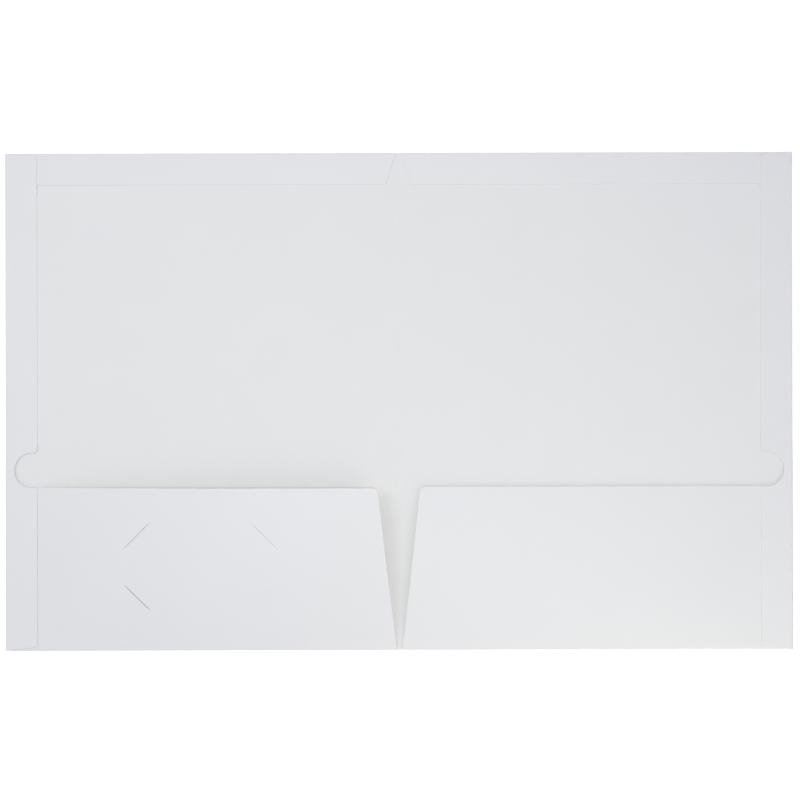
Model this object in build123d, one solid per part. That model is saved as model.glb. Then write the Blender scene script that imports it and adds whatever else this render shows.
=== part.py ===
from build123d import *
import os

# Two pocket folder of white card, lying open with its inside up.
# The folder is one die-cut sheet. Each leaf is a cover with a hem turned in along its top edge, a hem
# turned in along its outer edge and a pocket front turned up from its bottom edge. Every turn is a
# bend of the card, and the panels stack with glue or a gap for papers between them.
# The side hem lies over the end of the top hem and over the outer edge of the pocket, so it steps
# from one height to the next, and its bend opens and closes with it while its outer edge stays
# straight.
# Millimetres. Origin: middle of the open folder, on the surface it lies on. X runs to the right,
# Y towards the top edge and Z up out of the inside.

# Sheet
card = 0.35
glue = 0.05
paper_gap = 0.6  # room for papers between a cover and its pocket front

# Leaf
leaf_width = 241.3
leaf_height = 304.8
spine_half = 1.5  # half the width of the scored strip between the covers
spine_clearance = 0.05  # between the scored strip and the cover that swings

# Score along the spine, round about the line that the leaves close on
fold_axis_height = 1.48
score_depth = 0.06

# Bends
bend_reach = 1.4  # every bend begins this far inside the folder's edge
bend_clearance = 0.1  # between the end of a bend and the cover beside it

# Hems
hem = 19.5
top_hem_start = 2.1  # from the spine to the end of the top hem, at the bend
top_hem_slant = 5.7  # how much further from the spine that end is at the hem's free edge
top_hem_relief = 4.5  # the hidden outer end is drawn in by this much at the free edge
side_hem_top_slant = 1.5  # the side hem's ends slope in by this much at the free edge
side_hem_foot_slant = 2.4
tuck = 0.6  # panels under the side hem stop this far short of its bend

# Thumb notch in the side hem, resting on the pocket's top edge
notch_radius = 10.6
notch_from_edge = 16.0  # centre of the notch to the leaf's outer edge
notch_corner = 3.0

# Where the side hem steps down, from each end towards its middle
pocket_step_start = 4.0  # above the pocket's top edge
pocket_step_end = 34.0
top_step_start = 0.5  # below the top hem's free edge
top_step_end = 6.0

# Pocket
pocket_height = 100.0
pocket_foot = 1.9  # from the spine to the pocket's inner edge, at the bottom
pocket_shoulder = 12.8  # the same at the top
pocket_corner = 3.6

# Business card slits in the left pocket: their ends lie on the sides of a box round the card
slit_box_width = 94.2
slit_box_height = 53.9
slit_leg = 15.7  # run of a slit along each side of that box
slit_width = 0.35
slits_from_spine = 121.0
slits_from_bottom = 51.8

# Glue lines
glue_line = 9.0  # width of a line under a hem
glue_margin = 5.0  # from the end of a line to the end or step of its hem

# Heights of the panels' undersides
hem_on_cover = card + glue
hem_on_top_hem = hem_on_cover + card + glue
pocket_underside = card + paper_gap
hem_on_pocket = pocket_underside + card + glue

# Edges of the folder, and the lines where its bends begin
top_y = leaf_height / 2
bottom_y = -leaf_height / 2
side_bend_x = leaf_width - bend_reach
top_bend_y = top_y - bend_reach
bottom_bend_y = bottom_y + bend_reach

# Free edges of the panels
side_hem_x = leaf_width - hem
top_hem_y = top_y - hem
pocket_top_y = bottom_y + pocket_height
tucked_x = side_bend_x - tuck

# The side hem's height along the leaf, as points of (Y, underside)
side_hem_steps = [
    (bottom_y, hem_on_pocket),
    (pocket_top_y + pocket_step_start, hem_on_pocket),
    (pocket_top_y + pocket_step_end, hem_on_cover),
    (top_hem_y - top_step_end, hem_on_cover),
    (top_hem_y - top_step_start, hem_on_top_hem),
    (top_y, hem_on_top_hem),
]


def outline(*corners):
    """A flat face with straight sides between the given corners."""
    return make_face(Polyline(*corners, close=True))


def rectangle(left, low, right, high):
    return outline((left, low), (right, low), (right, high), (left, high))


def panel(shape, underside, thickness=card):
    """A flat panel with its underside at the given height."""
    return Pos(0, 0, underside) * extrude(shape, amount=thickness)


def bend_section(underside):
    """Half ring between two straight legs; it turns the card up from the cover to a panel.

    The x axis points out of the leaf and the y axis up.
    """
    outer = (underside + card) / 2
    inner = outer - card
    leg = bend_reach - outer
    return make_face(
        [
            Line((0, 0), (leg, 0)),
            CenterArc((leg, outer), outer, -90, 180),
            Line((leg, 2 * outer), (0, 2 * outer)),
            Line((0, 2 * outer), (0, underside)),
            Line((0, underside), (leg, underside)),
            CenterArc((leg, outer), inner, 90, -180),
            Line((leg, card), (0, card)),
            Line((0, card), (0, 0)),
        ]
    )


def straight_bend(start, outward, along, length, underside):
    """Bend of one size along a straight edge, from the start point in the given direction."""
    section = Plane(origin=start, x_dir=outward, z_dir=along) * bend_section(underside)
    return extrude(section, amount=length)


def cover():
    """Back panel of the leaf, running on to the folder's edge beside the ends of the other bends."""
    whole = rectangle(spine_half, bottom_y, side_bend_x, top_y)
    outer_end = tucked_x + bend_clearance
    top_room = rectangle(top_hem_start - bend_clearance, top_bend_y, outer_end, top_y)
    pocket_room = rectangle(pocket_foot - bend_clearance, bottom_y, outer_end, bottom_bend_y)
    return panel(whole - top_room - pocket_room, 0)


def top_flap():
    shape = outline(
        (top_hem_start, top_bend_y),
        (top_hem_start + top_hem_slant, top_hem_y),
        (tucked_x - top_hem_relief, top_hem_y),
        (tucked_x, top_bend_y),
    )
    return panel(shape, hem_on_cover)


def top_fold():
    start = (top_hem_start, top_bend_y, 0)
    return straight_bend(start, (0, 1, 0), (1, 0, 0), tucked_x - top_hem_start, hem_on_cover)


def side_flap():
    """The stepped strip of the side hem, cut to its outline with the thumb notch."""
    strip = outline(
        (side_bend_x, bottom_y),
        (side_hem_x, bottom_y + side_hem_foot_slant),
        (side_hem_x, top_y - side_hem_top_slant),
        (side_bend_x, top_y),
    )
    notch_x = leaf_width - notch_from_edge
    notch_y = pocket_top_y + notch_radius
    round_end = Pos(notch_x, notch_y) * Circle(notch_radius)
    mouth = Pos(notch_x, notch_y) * Rectangle(hem, 2 * notch_radius, align=(Align.MAX, Align.CENTER))
    shape = strip - (round_end + mouth)
    upper_corner = (side_hem_x, notch_y + notch_radius)
    shape = fillet(shape.vertices().sort_by_distance(upper_corner)[0], notch_corner)

    underside = side_hem_steps
    top_side = [(y, z + card) for y, z in reversed(side_hem_steps)]
    stepped = extrude(Plane.YZ * outline(*underside, *top_side), amount=leaf_width)
    return stepped & extrude(shape, amount=hem_on_pocket + card)


def side_fold():
    """Bend of the side hem, lofted along the leaf because it is rounder where the hem lies higher."""
    sections = [
        Plane(origin=(side_bend_x, y, 0), x_dir=(1, 0, 0), z_dir=(0, -1, 0)) * bend_section(underside)
        for y, underside in side_hem_steps
    ]
    return loft(sections, ruled=True)


def pocket():
    shoulder = (pocket_shoulder, pocket_top_y)
    shape = outline(
        (pocket_foot, bottom_bend_y),
        (tucked_x, bottom_bend_y),
        (tucked_x, pocket_top_y),
        shoulder,
    )
    shape = fillet(shape.vertices().sort_by_distance(shoulder)[0], pocket_corner)
    return panel(shape, pocket_underside)


def pocket_fold():
    start = (tucked_x, bottom_bend_y, 0)
    return straight_bend(start, (0, -1, 0), (-1, 0, 0), tucked_x - pocket_foot, pocket_underside)


def top_glue():
    left = top_hem_start + top_hem_slant + glue_margin
    right = tucked_x - top_hem_relief - glue_margin
    middle = ((left + right) / 2, (top_hem_y + top_bend_y) / 2)
    return panel(Pos(*middle) * SlotOverall(right - left, glue_line), card, glue)


def side_glue_line(low, high, underside):
    middle = ((side_hem_x + tucked_x) / 2, (low + high) / 2)
    return panel(Pos(*middle) * SlotOverall(high - low, glue_line, rotation=90), underside, glue)


def side_glue():
    low = pocket_top_y + pocket_step_end + glue_margin
    high = top_hem_y - top_step_end - glue_margin
    return side_glue_line(low, high, card)


def pocket_glue():
    low = bottom_bend_y + glue_margin
    high = pocket_top_y - glue_margin
    return side_glue_line(low, high, pocket_underside + card)


def card_slits():
    """The four slits, each across one corner of a business card, as cutters for the left pocket."""
    reach_x = (slit_box_width - slit_leg) / 2
    reach_y = (slit_box_height - slit_leg) / 2
    length = slit_leg * 2**0.5
    slits = [
        Pos(side_x * reach_x, side_y * reach_y)
        * SlotOverall(length, slit_width, rotation=-45 * side_x * side_y)
        for side_x in (-1, 1)
        for side_y in (-1, 1)
    ]
    middle = Pos(-slits_from_spine, bottom_y + slits_from_bottom)
    return [middle * panel(slit, pocket_underside) for slit in slits]


def spine_crease():
    """Scored strip between the covers, with a groove round about the fold's axis."""
    strip = panel(rectangle(-spine_half, bottom_y, spine_half - spine_clearance, top_y), 0)
    groove_radius = fold_axis_height - card + score_depth
    groove = Pos(0, 0, fold_axis_height) * Rot(90, 0, 0) * Cylinder(groove_radius, 2 * leaf_height)
    return strip - groove


right_leaf = {
    "cover": cover(),
    "top_flap": top_flap(),
    "top_fold": top_fold(),
    "top_glue": top_glue(),
    "side_flap": side_flap(),
    "side_fold": side_fold(),
    "side_glue": side_glue(),
    "pocket": pocket(),
    "pocket_fold": pocket_fold(),
    "pocket_glue": pocket_glue(),
}
left_leaf = {name: mirror(piece, about=Plane.YZ) for name, piece in right_leaf.items()}
left_leaf["pocket"] = left_leaf["pocket"] - card_slits()

os.makedirs("parts", exist_ok=True)
for name, piece in left_leaf.items():
    export_step(piece, f"parts/left_{name}.step")
for name, piece in right_leaf.items():
    export_step(piece, f"parts/right_{name}.step")
export_step(spine_crease(), "parts/spine_crease.step")
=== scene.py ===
import math

import bmesh
import bpy
import numpy as np
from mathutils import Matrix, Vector
from mathutils.geometry import delaunay_2d_cdt


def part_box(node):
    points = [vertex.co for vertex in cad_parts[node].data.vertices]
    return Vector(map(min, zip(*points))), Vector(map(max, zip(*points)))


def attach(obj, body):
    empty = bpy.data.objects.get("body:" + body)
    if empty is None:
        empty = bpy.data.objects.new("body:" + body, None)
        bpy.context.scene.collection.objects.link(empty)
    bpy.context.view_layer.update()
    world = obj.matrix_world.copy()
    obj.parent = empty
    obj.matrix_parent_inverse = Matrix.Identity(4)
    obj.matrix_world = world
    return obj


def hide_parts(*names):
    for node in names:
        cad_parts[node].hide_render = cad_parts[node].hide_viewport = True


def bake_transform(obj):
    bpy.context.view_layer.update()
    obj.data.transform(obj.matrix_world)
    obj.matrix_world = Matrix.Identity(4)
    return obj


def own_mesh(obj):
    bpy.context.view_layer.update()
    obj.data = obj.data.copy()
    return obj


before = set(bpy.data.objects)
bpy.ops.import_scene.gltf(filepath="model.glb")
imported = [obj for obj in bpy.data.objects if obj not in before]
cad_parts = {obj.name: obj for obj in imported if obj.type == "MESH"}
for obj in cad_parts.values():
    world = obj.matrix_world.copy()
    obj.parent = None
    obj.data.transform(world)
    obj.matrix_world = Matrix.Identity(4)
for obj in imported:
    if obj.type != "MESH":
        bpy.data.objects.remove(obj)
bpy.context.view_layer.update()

# White card folder, open and seen straight from above.
# Every panel and bend is a closed sheet of card with a coated side, an inner side and a cut rim.
# Shapes are worked out in millimetres on the right leaf; the left leaf is its mirror image.

MM = 0.001


def node_box(name):
    """Lowest and highest corner of a node of the frame, in millimetres."""
    return [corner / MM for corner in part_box(name)]


# Places that the frame gives
cover_low, cover_high = node_box("right_cover")
top_low, top_high = node_box("right_top_flap")
side_low, side_high = node_box("right_side_flap")
pocket_low, pocket_high = node_box("right_pocket")
leaf_width = node_box("right_side_fold")[1].x
card = cover_high.z - cover_low.z
spine_half = cover_low.x  # half the width of the scored strip between the covers
bottom_y = cover_low.y
top_y = cover_high.y
pocket_top_y = pocket_high.y
top_hem_y = top_low.y
tucked_x = pocket_high.x  # outer end of the panels that lie under the side hem

# Lines where the bends begin
side_bend_x = cover_high.x
top_bend_y = top_high.y
bottom_bend_y = pocket_low.y
bend_reach = leaf_width - side_bend_x  # from such a line to the folder's edge

# Heights of the panels' undersides
hem_on_cover = side_low.z
hem_on_pocket = side_high.z - card
hem_on_top_hem = top_high.z + (hem_on_cover - card)
pocket_underside = pocket_low.z

# Lengths of the panels, from their bends to their free edges
side_run = side_bend_x - side_low.x
top_run = top_bend_y - top_hem_y
pocket_run = pocket_top_y - bottom_bend_y

# Cuts that the boxes don't show
top_hem_slant = 5.7  # how much further from the spine the top hem starts at its free edge
top_hem_relief = 4.5  # how much its hidden outer end is drawn in there
side_hem_top_slant = 1.5  # how much the side hem's ends slope in at its free edge
side_hem_foot_slant = 2.4
notch_radius = 10.6  # thumb notch in the side hem, resting on the pocket's top edge
notch_from_edge = 16.0  # centre of the notch to the leaf's outer edge
notch_corner = 3.0  # rounding of the hem above the notch
hem_foot_corner = 0.6  # and below it
pocket_shoulder = 12.8  # from the spine to the pocket's upper inner corner
pocket_corner = 3.6  # rounding of that corner
cut_slope = 0.12  # how far the rim of a cut edge slopes back
bend_gap = 0.05  # between the end of a bend and the cover beside it

# Where the side hem steps from one layer to the next
pocket_step_start = 4.0  # above the pocket's top edge
pocket_step_end = 34.0
top_step_start = 6.0  # below the top hem's free edge
top_step_end = 0.5
pocket_step = (pocket_top_y + pocket_step_start, pocket_top_y + pocket_step_end)
top_step = (top_hem_y - top_step_start, top_hem_y - top_step_end)

# Business card slits in the left pocket: their ends lie on the sides of a box round the card
slit_box_width = 94.2
slit_box_height = 53.9
slit_leg = 15.7  # run of a slit along each side of that box
slits_from_spine = 121.0
slits_y = -100.6

# How wide each slit gapes, by its corner of that box: (1, 1) is the upper corner away from the spine
slit_opening = {(1, -1): 0.33, (1, 1): 0.22, (-1, 1): 0.12, (-1, -1): 0.05}

# How the card springs open where nothing holds it
pocket_lift = {"left": 7.5, "right": 3.5}  # free edge of the pocket, beside the spine
pocket_lift_reach = {"left": 0.65, "right": 1.0}  # share of the width over which it rises
pocket_bow = 2.2  # how early it rises above the bottom bend
pocket_droop = {"left": 0.0, "right": 0.85}  # share of the rise lost again up to the top edge
droop_power = 4  # how late it is lost
pocket_draw = 0.9  # how strongly the bent card draws its free edges in
hem_lift = {"left": 0.2, "right": 0.0}  # side hem's free edge, over the pocket

# Score along the spine
score_depth = 0.025
score_half = 0.55  # half its width

# Fineness of the meshes
cover_spacing = 7.0  # between the points of a cover
panel_spacing = 4.0  # between the points of the other pieces
arc_fineness = 3  # how many times nearer the points of a rounded corner are
fewest_arc_sides = 3
bend_rows = 12  # rows of faces round a bend, and across the spine strip
slit_points = 28
same_place = 0.001  # points of an outline that are nearer than this are one point
triangle_tolerance = 1e-6
sharp_turn = 50.0  # degrees between two faces from which their edge looks sharp

# Shares across a bend: 0 to 1 goes round the half ring, and these two are the ends of its legs
end_at_cover = -1.0
end_at_panel = 2.0

# Values of a noise that count as its lowest and highest, since few lie beyond them
noise_low = 0.3
noise_high = 0.7

# Floor
floor_half = 4.0  # metres from its middle to each side
floor_drop = 0.05  # below the folder
floor_tone = 0.82
floor_glow = 0.35  # added where it is seen, so that it looks white

# View: straight down, framed as in the photograph
lens = 85.0
sensor = 36.0
frame_width = 491.0  # across the picture, at the folder
frame_middle = (0.6, 0.8)  # point of the folder at the middle of the picture
frame_roll = -0.14  # degrees


def turned(x, y, angle):
    """A flat point turned about the origin."""
    return (
        x * math.cos(angle) - y * math.sin(angle),
        x * math.sin(angle) + y * math.cos(angle),
    )


def arc_corner(before, corner, after, radius, step):
    """Points of the arc that rounds a corner between its two neighbours."""
    to_before = (before - corner).normalized()
    to_after = (after - corner).normalized()
    half = to_before.angle(to_after) / 2
    centre = corner + (to_before + to_after).normalized() * (radius / math.sin(half))
    start = corner + to_before * (radius / math.tan(half)) - centre
    turn = math.pi - 2 * half
    if to_before.cross(to_after) > 0:
        turn = -turn
    count = max(fewest_arc_sides, math.ceil(abs(turn) * radius / step))
    return [centre + Vector(turned(start.x, start.y, turn * i / count)) for i in range(count + 1)]


def loop_through(corners, spacing):
    """Closed loop with points about spacing apart. A corner is (x, y), or (x, y, radius) to round it."""
    turns = []
    for i, corner in enumerate(corners):
        here = Vector(corner[:2])
        if len(corner) == 2:
            turns.append(here)
            continue
        before = Vector(corners[i - 1][:2])
        after = Vector(corners[(i + 1) % len(corners)][:2])
        turns += arc_corner(before, here, after, corner[2], spacing / arc_fineness)
    loop = []
    for start, end in zip(turns, turns[1:] + turns[:1]):
        length = (end - start).length
        if length < same_place:
            continue
        count = max(1, round(length / spacing))
        loop += [start.lerp(end, i / count) for i in range(count)]
    return np.array(loop)


def cut_loop(middle, angle, length, width):
    """Opening that a cut leaves in bent card: a thin slot that narrows at its ends."""
    loop = []
    for i in range(slit_points):
        turn = 2 * math.pi * i / slit_points
        along = length / 2 * math.cos(turn)
        across = width / 2 * math.copysign(math.sqrt(abs(math.sin(turn))), math.sin(turn))
        x, y = turned(along, across, angle)
        loop.append((middle[0] + x, middle[1] + y))
    return np.array(loop)


def inside(points, loop):
    """Which points lie inside a closed loop, by counting crossings to their right."""
    x, y = points[:, 0, None], points[:, 1, None]
    start, end = loop, np.roll(loop, -1, axis=0)
    crosses = (start[:, 1] > y) != (end[:, 1] > y)
    rise = np.where(end[:, 1] == start[:, 1], 1.0, end[:, 1] - start[:, 1])
    at = start[:, 0] + (y - start[:, 1]) * (end[:, 0] - start[:, 0]) / rise
    return (crosses & (x < at)).sum(axis=1) % 2 == 1


def on_sheet(points, loops):
    """Which points lie inside the first loop and outside the other loops, which are holes."""
    found = inside(points, loops[0])
    for hole in loops[1:]:
        found &= ~inside(points, hole)
    return found


def clearance(points, loop):
    """Distance from each point to the nearest side of a closed loop."""
    start, run = loop, np.roll(loop, -1, axis=0) - loop
    share = ((points[:, None] - start) * run).sum(axis=2) / (run**2).sum(axis=1)
    nearest = start + np.clip(share, 0, 1)[..., None] * run
    return np.linalg.norm(points[:, None] - nearest, axis=2).min(axis=1)


def fill(loops, spacing):
    """Points and triangles that fill the first loop around the other loops, which are holes."""
    low, high = loops[0].min(axis=0), loops[0].max(axis=0)
    row_height = spacing * math.sqrt(3) / 2  # of triangles with even sides
    lattice = np.array(
        [
            (x, y)
            for i, y in enumerate(np.arange(low[1], high[1], row_height))
            for x in np.arange(low[0] + spacing / 2 * (i % 2), high[0], spacing)
        ]
    )
    keep = on_sheet(lattice, loops)
    for loop in loops:
        keep &= clearance(lattice, loop) > spacing / 2
    points = [Vector(p) for loop in loops for p in loop] + [Vector(p) for p in lattice[keep]]
    sides = []
    first = 0
    for loop in loops:
        count = len(loop)
        sides += [(first + i, first + (i + 1) % count) for i in range(count)]
        first += count
    # Output of type 0 has triangles over the whole hull; those off the sheet are left out below.
    found = delaunay_2d_cdt(points, sides, [], 0, triangle_tolerance)
    points = np.array([p[:] for p in found[0]])
    triangles = np.array(found[2])
    wanted = on_sheet(points[triangles].mean(axis=1), loops)
    return points, [tuple(triangle) for triangle in triangles[wanted].tolist()]


def grid(columns, rows):
    """Points and four-sided faces over every column and row."""
    points = np.array([(u, v) for u in columns for v in rows])
    count = len(rows)
    faces = [
        (i * count + j, (i + 1) * count + j, (i + 1) * count + j + 1, i * count + j + 1)
        for i in range(len(columns) - 1)
        for j in range(count - 1)
    ]
    return points, faces


def rim_sides(faces):
    """Sides that only one face has."""
    seen = {}
    for face in faces:
        for side in zip(face, face[1:] + face[:1]):
            seen.setdefault(tuple(sorted(side)), []).append(side)
    return [sides[0] for sides in seen.values() if len(sides) == 1]


def cut_back(points, sides):
    """Points of the coated side, drawn in a little along the edges that are cut and not bent."""
    inward = np.zeros_like(points)
    for a, b in sides:
        run = points[b] - points[a]
        inward[[a, b]] += np.array((-run[1], run[0])) / np.hypot(*run)
    moved = points.copy()
    for i in {i for side in sides for i in side}:
        if points[i][1] > 0:
            moved[i] += cut_slope * inward[i] / np.hypot(*inward[i])
    return moved


def card_piece(name, points, faces, place, cut=False):
    """Closed sheet of card. place(u, v, out) puts a point of the flat sheet in the folder, out being
    its distance from the middle of the card towards the coated side. A cut sheet has a sloped rim,
    apart from its bend line at v = 0."""
    sides = rim_sides(faces)
    upper = cut_back(points, sides) if cut else points
    coated = [place(u, v, card / 2) for u, v in upper]
    inner = [place(u, v, -card / 2) for u, v in points]
    count = len(points)
    under = [tuple(i + count for i in reversed(face)) for face in faces]
    rim = [(b, a, a + count, b + count) for a, b in sides]
    mesh = bpy.data.meshes.new(name)
    mesh.from_pydata([Vector(p) * MM for p in coated + inner], [], faces + under + rim)
    # The materials have the order of the faces: coated side, inner side, rim.
    materials = (coated_card, inside_card, cut_card)
    for i, polygon in enumerate(mesh.polygons):
        polygon.material_index = min(i // len(faces), len(materials) - 1)
        polygon.use_smooth = True
    shape = bmesh.new()
    shape.from_mesh(mesh)
    bmesh.ops.recalc_face_normals(shape, faces=shape.faces)
    shape.to_mesh(mesh)
    shape.free()
    mesh.set_sharp_from_angle(angle=math.radians(sharp_turn))
    for material in materials:
        mesh.materials.append(material)
    piece = bpy.data.objects.new(name, mesh)
    bpy.context.scene.collection.objects.link(piece)
    return piece


def smooth(value, start, end):
    """0 before start, 1 after end, and an even S between them."""
    share = min(1.0, max(0.0, (value - start) / (end - start)))
    return share * share * (3 - 2 * share)


def side_hem_underside(y):
    """Height of the side hem's underside, over the pocket, the cover and the top hem in turn."""
    off_pocket = smooth(y, *pocket_step)
    onto_top = smooth(y, *top_step)
    return (
        hem_on_pocket
        + (hem_on_cover - hem_on_pocket) * off_pocket
        + (hem_on_top_hem - hem_on_cover) * onto_top
    )


def bend(share, out, underside):
    """Distance outside the bend line, and height, at a share of the way across a bend. The card turns
    up in a half ring between two straight legs, from the cover to a panel with that underside."""
    outer = (underside + card) / 2
    radius = outer - card / 2 + out
    turn = math.pi * min(1.0, max(0.0, share))
    leg = bend_reach - outer if 0 <= share <= 1 else 0.0
    return leg + radius * math.sin(turn), outer - radius * math.cos(turn)


def bend_grid(start, end):
    """Flat form of a bend: along the edge from start to end, and in shares across it."""
    count = round((end - start) / panel_spacing)
    shares = [end_at_cover, *np.linspace(0, 1, bend_rows + 1), end_at_panel]
    return grid(np.linspace(start, end, count + 1), shares)


def pocket_rise(name, x, inward):
    """How far the pocket front has sprung up from the flat."""
    across = (side_low.x - x) / (side_low.x - pocket_shoulder) / pocket_lift_reach[name]
    across = min(1.0, max(0.0, across))
    up = min(1.0, inward / pocket_run)
    bowed = (1 - (1 - up) ** pocket_bow) * (1 - pocket_droop[name] * up**droop_power)
    return pocket_lift[name] * (1 - (1 - across) ** 2) * bowed


def card_slits():
    """Openings of the four slits, each across one corner of a business card."""
    length = slit_leg * math.sqrt(2)
    loops = []
    for (side_x, side_y), width in slit_opening.items():
        middle = (
            slits_from_spine + side_x * (slit_box_width - slit_leg) / 2,
            slits_y + side_y * (slit_box_height - slit_leg) / 2 - bottom_bend_y,
        )
        loops.append(cut_loop(middle, -side_x * side_y * math.pi / 4, length, width))
    return loops


def make_leaf(name, side):
    """All the card of one leaf; side is 1 for the right leaf and -1 for the left."""

    def add(part, flat, place, cut=False):
        piece = card_piece(f"{name}_{part}_card", *flat, place, cut)
        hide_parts(f"{name}_{part}")
        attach(piece, f"{name}_leaf")
        return piece

    def on_cover(x, y, out):
        return side * x, y, card / 2 - out

    bends_end = tucked_x + bend_gap
    corners = [
        (spine_half, bottom_y),
        (pocket_low.x - bend_gap, bottom_y),
        (pocket_low.x - bend_gap, bottom_bend_y),
        (bends_end, bottom_bend_y),
        (bends_end, bottom_y),
        (side_bend_x, bottom_y),
        (side_bend_x, top_y),
        (bends_end, top_y),
        (bends_end, top_bend_y),
        (top_low.x - bend_gap, top_bend_y),
        (top_low.x - bend_gap, top_y),
        (spine_half, top_y),
    ]
    flat = fill([loop_through(corners, cover_spacing)], cover_spacing)
    add("cover", flat, on_cover)

    def on_top_flap(x, inward, out):
        return side * x, top_bend_y - inward, hem_on_cover + card / 2 + out

    corners = [
        (top_low.x, 0),
        (tucked_x, 0),
        (tucked_x - top_hem_relief, top_run),
        (top_low.x + top_hem_slant, top_run),
    ]
    flat = fill([loop_through(corners, panel_spacing)], panel_spacing)
    add("top_flap", flat, on_top_flap, cut=True)

    def on_top_fold(x, share, out):
        outward, height = bend(share, out, hem_on_cover)
        return side * x, top_bend_y + outward, height

    add("top_fold", bend_grid(top_low.x, tucked_x), on_top_fold)

    def on_side_flap(y, inward, out):
        over_pocket = 1 - smooth(y, *pocket_step)
        lift = hem_lift[name] * over_pocket * (inward / side_run) ** 2
        height = side_hem_underside(y) + card / 2 + out + lift
        return side * (side_bend_x - inward), y, height

    notch_end = notch_from_edge - bend_reach - notch_radius
    notch_top = pocket_top_y + 2 * notch_radius
    corners = [
        (bottom_y, 0),
        (bottom_y + side_hem_foot_slant, side_run),
        (pocket_top_y, side_run, hem_foot_corner),
        (pocket_top_y, notch_end, notch_radius),
        (notch_top, notch_end, notch_radius),
        (notch_top, side_run, notch_corner),
        (top_y - side_hem_top_slant, side_run),
        (top_y, 0),
    ]
    flat = fill([loop_through(corners, panel_spacing)], panel_spacing)
    add("side_flap", flat, on_side_flap, cut=True)

    def on_side_fold(y, share, out):
        outward, height = bend(share, out, side_hem_underside(y))
        return side * (side_bend_x + outward), y, height

    add("side_fold", bend_grid(bottom_y, top_y), on_side_fold)

    def on_pocket(x, inward, out):
        rise = pocket_rise(name, x, inward)
        drawn_in = pocket_draw * rise**2 / pocket_run
        height = pocket_underside + card / 2 + out + rise
        return side * (x + drawn_in), bottom_bend_y + inward - drawn_in, height

    corners = [
        (pocket_low.x, 0),
        (tucked_x, 0),
        (tucked_x, pocket_run),
        (pocket_shoulder, pocket_run, pocket_corner),
    ]
    loops = [loop_through(corners, panel_spacing)]
    if name == "left":
        loops += card_slits()
    pocket = add("pocket", fill(loops, panel_spacing), on_pocket)
    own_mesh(pocket)

    def on_pocket_fold(x, share, out):
        outward, height = bend(share, out, pocket_underside)
        return side * x, bottom_bend_y - outward, height

    add("pocket_fold", bend_grid(pocket_low.x, tucked_x), on_pocket_fold)


def make_spine():
    """Scored strip between the covers, with a shallow groove along its inner side."""

    def on_spine(x, y, out):
        groove = score_depth * max(0.0, 1 - (x / score_half) ** 2) if out < 0 else 0.0
        return x, y, card / 2 - out - groove

    across = np.linspace(-spine_half, spine_half, bend_rows + 1)
    along = np.linspace(bottom_y, top_y, round((top_y - bottom_y) / panel_spacing) + 1)
    spine = card_piece("spine_crease_card", *grid(across, along), on_spine)
    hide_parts("spine_crease")
    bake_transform(spine)


def new_material(name):
    """Material with its node tree, principled shader and object coordinates."""
    material = bpy.data.materials.new(name)
    material.use_nodes = True
    nodes, links = material.node_tree.nodes, material.node_tree.links
    shader = nodes["Principled BSDF"]
    place = nodes.new("ShaderNodeTexCoord").outputs["Object"]
    return material, nodes, links, shader, place


def noise(nodes, links, place, size, detail):
    """Noise with features of about size millimetres."""
    texture = nodes.new("ShaderNodeTexNoise")
    texture.inputs["Scale"].default_value = 1 / (size * MM)
    texture.inputs["Detail"].default_value = detail
    links.new(place, texture.inputs["Vector"])
    return texture.outputs["Fac"]


def between(nodes, links, factor, low, high):
    """A noise's factor, mapped to the span from low to high."""
    span = nodes.new("ShaderNodeMapRange")
    span.inputs["From Min"].default_value = noise_low
    span.inputs["From Max"].default_value = noise_high
    span.inputs["To Min"].default_value = low
    span.inputs["To Max"].default_value = high
    links.new(factor, span.inputs["Value"])
    return span.outputs["Result"]


def mixed(nodes, links, factor, first, second):
    """Colour between two colours."""
    mix = nodes.new("ShaderNodeMix")
    mix.data_type = "RGBA"
    mix.inputs["A"].default_value = (*first, 1)
    mix.inputs["B"].default_value = (*second, 1)
    links.new(factor, mix.inputs["Factor"])
    return mix.outputs["Result"]


def coloured(nodes, links, shader, cloud, first, second):
    """Base colour that wanders between two colours as a noise does."""
    factor = between(nodes, links, cloud, low=0, high=1)
    links.new(mixed(nodes, links, factor, first, second), shader.inputs["Base Color"])


def bumped(nodes, links, shader, height, strength, depth):
    """Relief of about depth millimetres."""
    bump = nodes.new("ShaderNodeBump")
    bump.inputs["Strength"].default_value = strength
    bump.inputs["Distance"].default_value = depth * MM
    links.new(height, bump.inputs["Height"])
    links.new(bump.outputs["Normal"], shader.inputs["Normal"])


def make_coated_card():
    """Outside of the sheet: a smooth satin coating."""
    material, nodes, links, shader, place = new_material("coated card")
    cloud = noise(nodes, links, place, size=45, detail=3)
    coloured(nodes, links, shader, cloud, first=(0.766, 0.764, 0.762), second=(0.774, 0.772, 0.770))
    shader.inputs["Specular IOR Level"].default_value = 0.35
    peel = noise(nodes, links, place, size=1.6, detail=3)
    links.new(between(nodes, links, peel, low=0.48, high=0.56), shader.inputs["Roughness"])
    grain = noise(nodes, links, place, size=0.7, detail=4)
    bumped(nodes, links, shader, grain, strength=0.25, depth=0.01)
    return material


def make_inside_card():
    """Inside of the sheet: bare paper with fine fibres, a little warmer than the coating."""
    material, nodes, links, shader, place = new_material("inside card")
    cloud = noise(nodes, links, place, size=30, detail=4)
    coloured(nodes, links, shader, cloud, first=(0.792, 0.789, 0.772), second=(0.800, 0.797, 0.780))
    shader.inputs["Specular IOR Level"].default_value = 0.25
    fibres = noise(nodes, links, place, size=0.5, detail=5)
    links.new(between(nodes, links, fibres, low=0.82, high=0.94), shader.inputs["Roughness"])
    bumped(nodes, links, shader, fibres, strength=0.35, depth=0.015)
    return material


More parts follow.
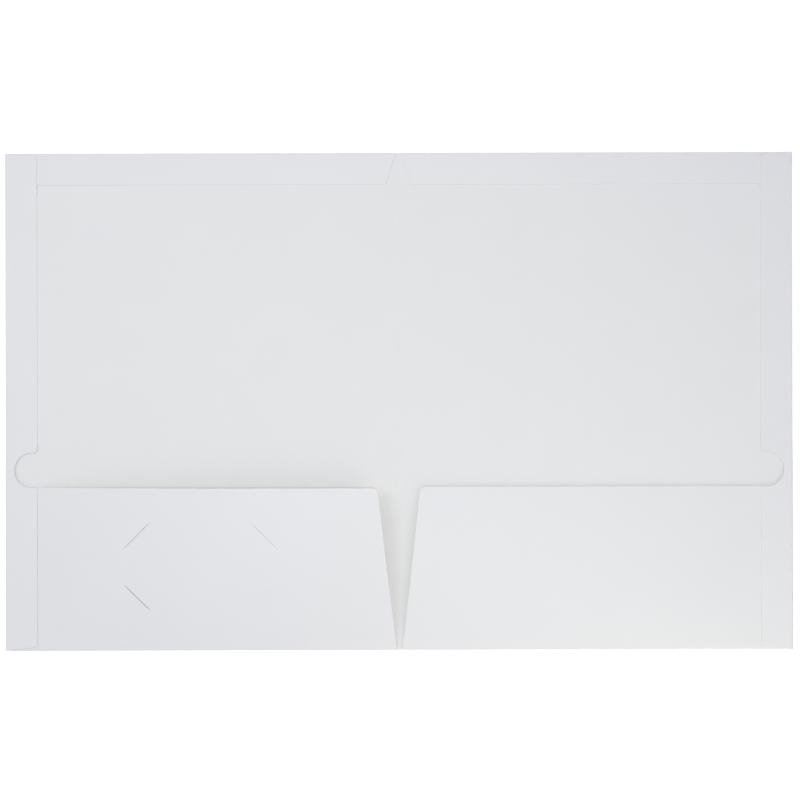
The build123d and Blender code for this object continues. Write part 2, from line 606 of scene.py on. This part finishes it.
def make_cut_card():
    """Cut rim of the sheet: the bare core."""
    material, nodes, links, shader, place = new_material("cut card")
    fibres = noise(nodes, links, place, size=0.15, detail=3)
    coloured(nodes, links, shader, fibres, first=(0.70, 0.685, 0.64), second=(0.77, 0.76, 0.725))
    shader.inputs["Roughness"].default_value = 0.95
    bumped(nodes, links, shader, fibres, strength=0.5, depth=0.02)
    return material


def make_glue():
    """Dry glue between the panels."""
    material, nodes, links, shader, place = new_material("dry glue")
    smear = noise(nodes, links, place, size=2.5, detail=3)
    coloured(nodes, links, shader, smear, first=(0.72, 0.70, 0.62), second=(0.80, 0.78, 0.71))
    links.new(between(nodes, links, smear, low=0.35, high=0.6), shader.inputs["Roughness"])
    bumped(nodes, links, shader, smear, strength=0.4, depth=0.03)
    return material


def seen_white(nodes, links):
    """1 for rays that show the background: from the camera, in gloss and through glass."""
    path = nodes.new("ShaderNodeLightPath")
    glossy = nodes.new("ShaderNodeMath")
    glossy.operation = "MAXIMUM"
    links.new(path.outputs["Is Glossy Ray"], glossy.inputs[0])
    links.new(path.outputs["Is Transmission Ray"], glossy.inputs[1])
    seen = nodes.new("ShaderNodeMath")
    seen.operation = "MAXIMUM"
    links.new(path.outputs["Is Camera Ray"], seen.inputs[0])
    links.new(glossy.outputs[0], seen.inputs[1])
    return seen.outputs[0]


def make_floor():
    """Plain pale floor that looks white and keeps the folder's shadow."""
    mesh = bpy.data.meshes.new("floor")
    corners = [
        (-floor_half, -floor_half),
        (floor_half, -floor_half),
        (floor_half, floor_half),
        (-floor_half, floor_half),
    ]
    mesh.from_pydata([(x, y, -floor_drop * MM) for x, y in corners], [], [(0, 1, 2, 3)])
    floor = bpy.data.objects.new("floor", mesh)
    bpy.context.scene.collection.objects.link(floor)

    material = bpy.data.materials.new("floor")
    material.use_nodes = True
    nodes, links = material.node_tree.nodes, material.node_tree.links
    nodes.clear()
    matt = nodes.new("ShaderNodeBsdfDiffuse")
    matt.inputs["Color"].default_value = (floor_tone, floor_tone, floor_tone, 1)
    glow = nodes.new("ShaderNodeEmission")
    lift = nodes.new("ShaderNodeMath")
    lift.operation = "MULTIPLY"
    lift.inputs[1].default_value = floor_glow
    links.new(seen_white(nodes, links), lift.inputs[0])
    links.new(lift.outputs[0], glow.inputs["Strength"])
    both = nodes.new("ShaderNodeAddShader")
    links.new(matt.outputs[0], both.inputs[0])
    links.new(glow.outputs[0], both.inputs[1])
    output = nodes.new("ShaderNodeOutputMaterial")
    links.new(both.outputs[0], output.inputs["Surface"])
    mesh.materials.append(material)


def make_world(strength, tint):
    """Even light from all round; the background itself is white, which is a strength of 1."""
    world = bpy.data.worlds.new("studio")
    bpy.context.scene.world = world
    world.use_nodes = True
    nodes, links = world.node_tree.nodes, world.node_tree.links
    background = nodes["Background"]
    white = seen_white(nodes, links)
    links.new(mixed(nodes, links, white, first=tint, second=(1, 1, 1)), background.inputs["Color"])
    span = nodes.new("ShaderNodeMapRange")
    span.inputs["To Min"].default_value = strength
    span.inputs["To Max"].default_value = 1.0
    links.new(white, span.inputs["Value"])
    links.new(span.outputs["Result"], background.inputs["Strength"])


def make_light(name, place, size, power, colour, target=(0, 0, 0)):
    """Soft lamp of the given width and length in metres that faces the target."""
    data = bpy.data.lights.new(name, "AREA")
    data.shape = "RECTANGLE"
    data.size, data.size_y = size
    data.energy = power
    data.color = colour
    lamp = bpy.data.objects.new(name, data)
    lamp.location = place
    lamp.rotation_euler = (Vector(target) - Vector(place)).to_track_quat("-Z", "Y").to_euler()
    lamp.visible_camera = False
    bpy.context.scene.collection.objects.link(lamp)


def make_camera():
    """Camera above the folder, as high as the picture's width asks."""
    data = bpy.data.cameras.new("camera")
    data.lens = lens
    data.sensor_width = sensor
    camera = bpy.data.objects.new("camera", data)
    camera.location = (frame_middle[0] * MM, frame_middle[1] * MM, frame_width * MM * lens / sensor)
    camera.rotation_euler = (0, 0, math.radians(frame_roll))
    bpy.context.scene.collection.objects.link(camera)
    bpy.context.scene.camera = camera


coated_card = make_coated_card()
inside_card = make_inside_card()
cut_card = make_cut_card()
glue = make_glue()

make_leaf("left", -1)
make_leaf("right", 1)
make_spine()
for node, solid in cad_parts.items():
    if node.endswith("_glue"):
        solid.data.materials.clear()
        solid.data.materials.append(glue)

make_floor()
make_world(strength=0.483, tint=(0.786, 0.821, 1.0))
make_light(
    "overhead lamp",
    place=(0.02, 0, 1.0),
    size=(0.12, 0.3),
    power=4.52,
    colour=(1.0, 0.992, 0.925),
    target=(0.02, 0, 0),
)
make_light(
    "upper left lamp",
    place=(-0.864, 0.314, 0.771),
    size=(0.48, 0.48),
    power=2.28,
    colour=(1.0, 0.998, 0.935),
)
make_light(
    "lower right lamp",
    place=(0.211, -0.366, 0.154),
    size=(0.25, 0.25),
    power=0.298,
    colour=(1.0, 0.958, 0.716),
)
make_camera()
bpy.context.scene.view_settings.view_transform = "Standard"
